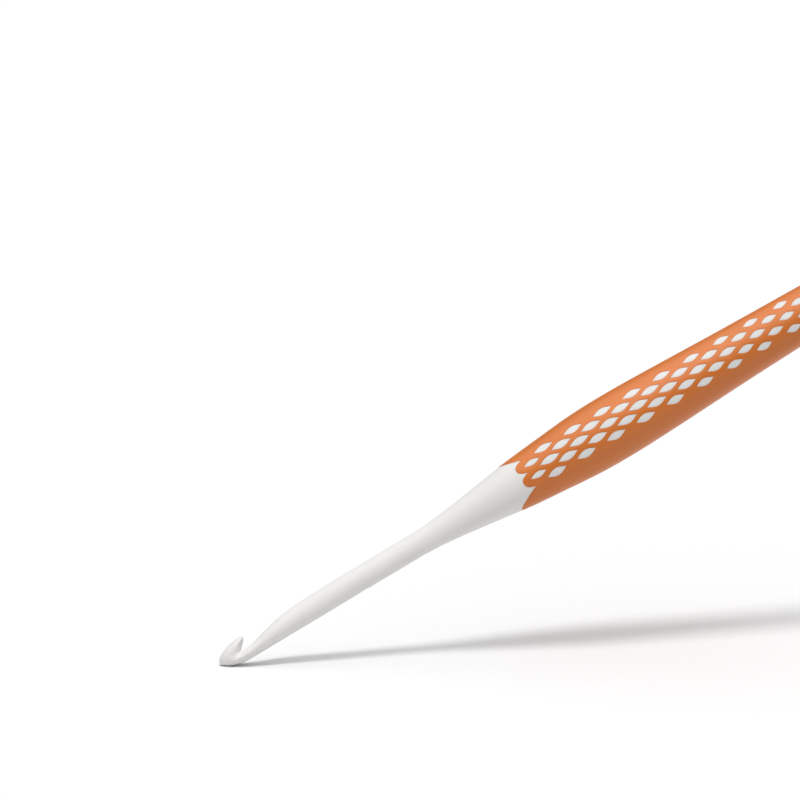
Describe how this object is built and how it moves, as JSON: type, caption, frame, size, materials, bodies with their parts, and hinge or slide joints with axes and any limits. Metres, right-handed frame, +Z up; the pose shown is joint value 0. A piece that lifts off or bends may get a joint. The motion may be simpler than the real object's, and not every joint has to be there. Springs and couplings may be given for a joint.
{
  "type": "crochet hook",
  "caption": "Slim crochet hook: white drop-shaped hook head, tapered neck and round shaft flaring into a soft orange grip with staggered lens-shaped windows.",
  "frame": {"origin": "on the surface that the hook lies on, under the middle of its length, on its centre line", "axes": "+X along the tool from the hook head to the tail, +Z up and out of the hook's mouth, -Y and +Y the two patterned sides of the grip"},
  "size_m": [0.16, 0.0136, 0.0136],
  "materials": {
    "white_polymer": "hard white moulded polymer with a fine satin finish, faintly translucent at thin edges",
    "orange_elastomer": "soft-touch moulded elastomer, matt orange with a light dusty sheen"
  },
  "bodies": {
    "root": {"hook_core": "white_polymer", "grip_skin": "orange_elastomer"}
  },
  "joints": []
}
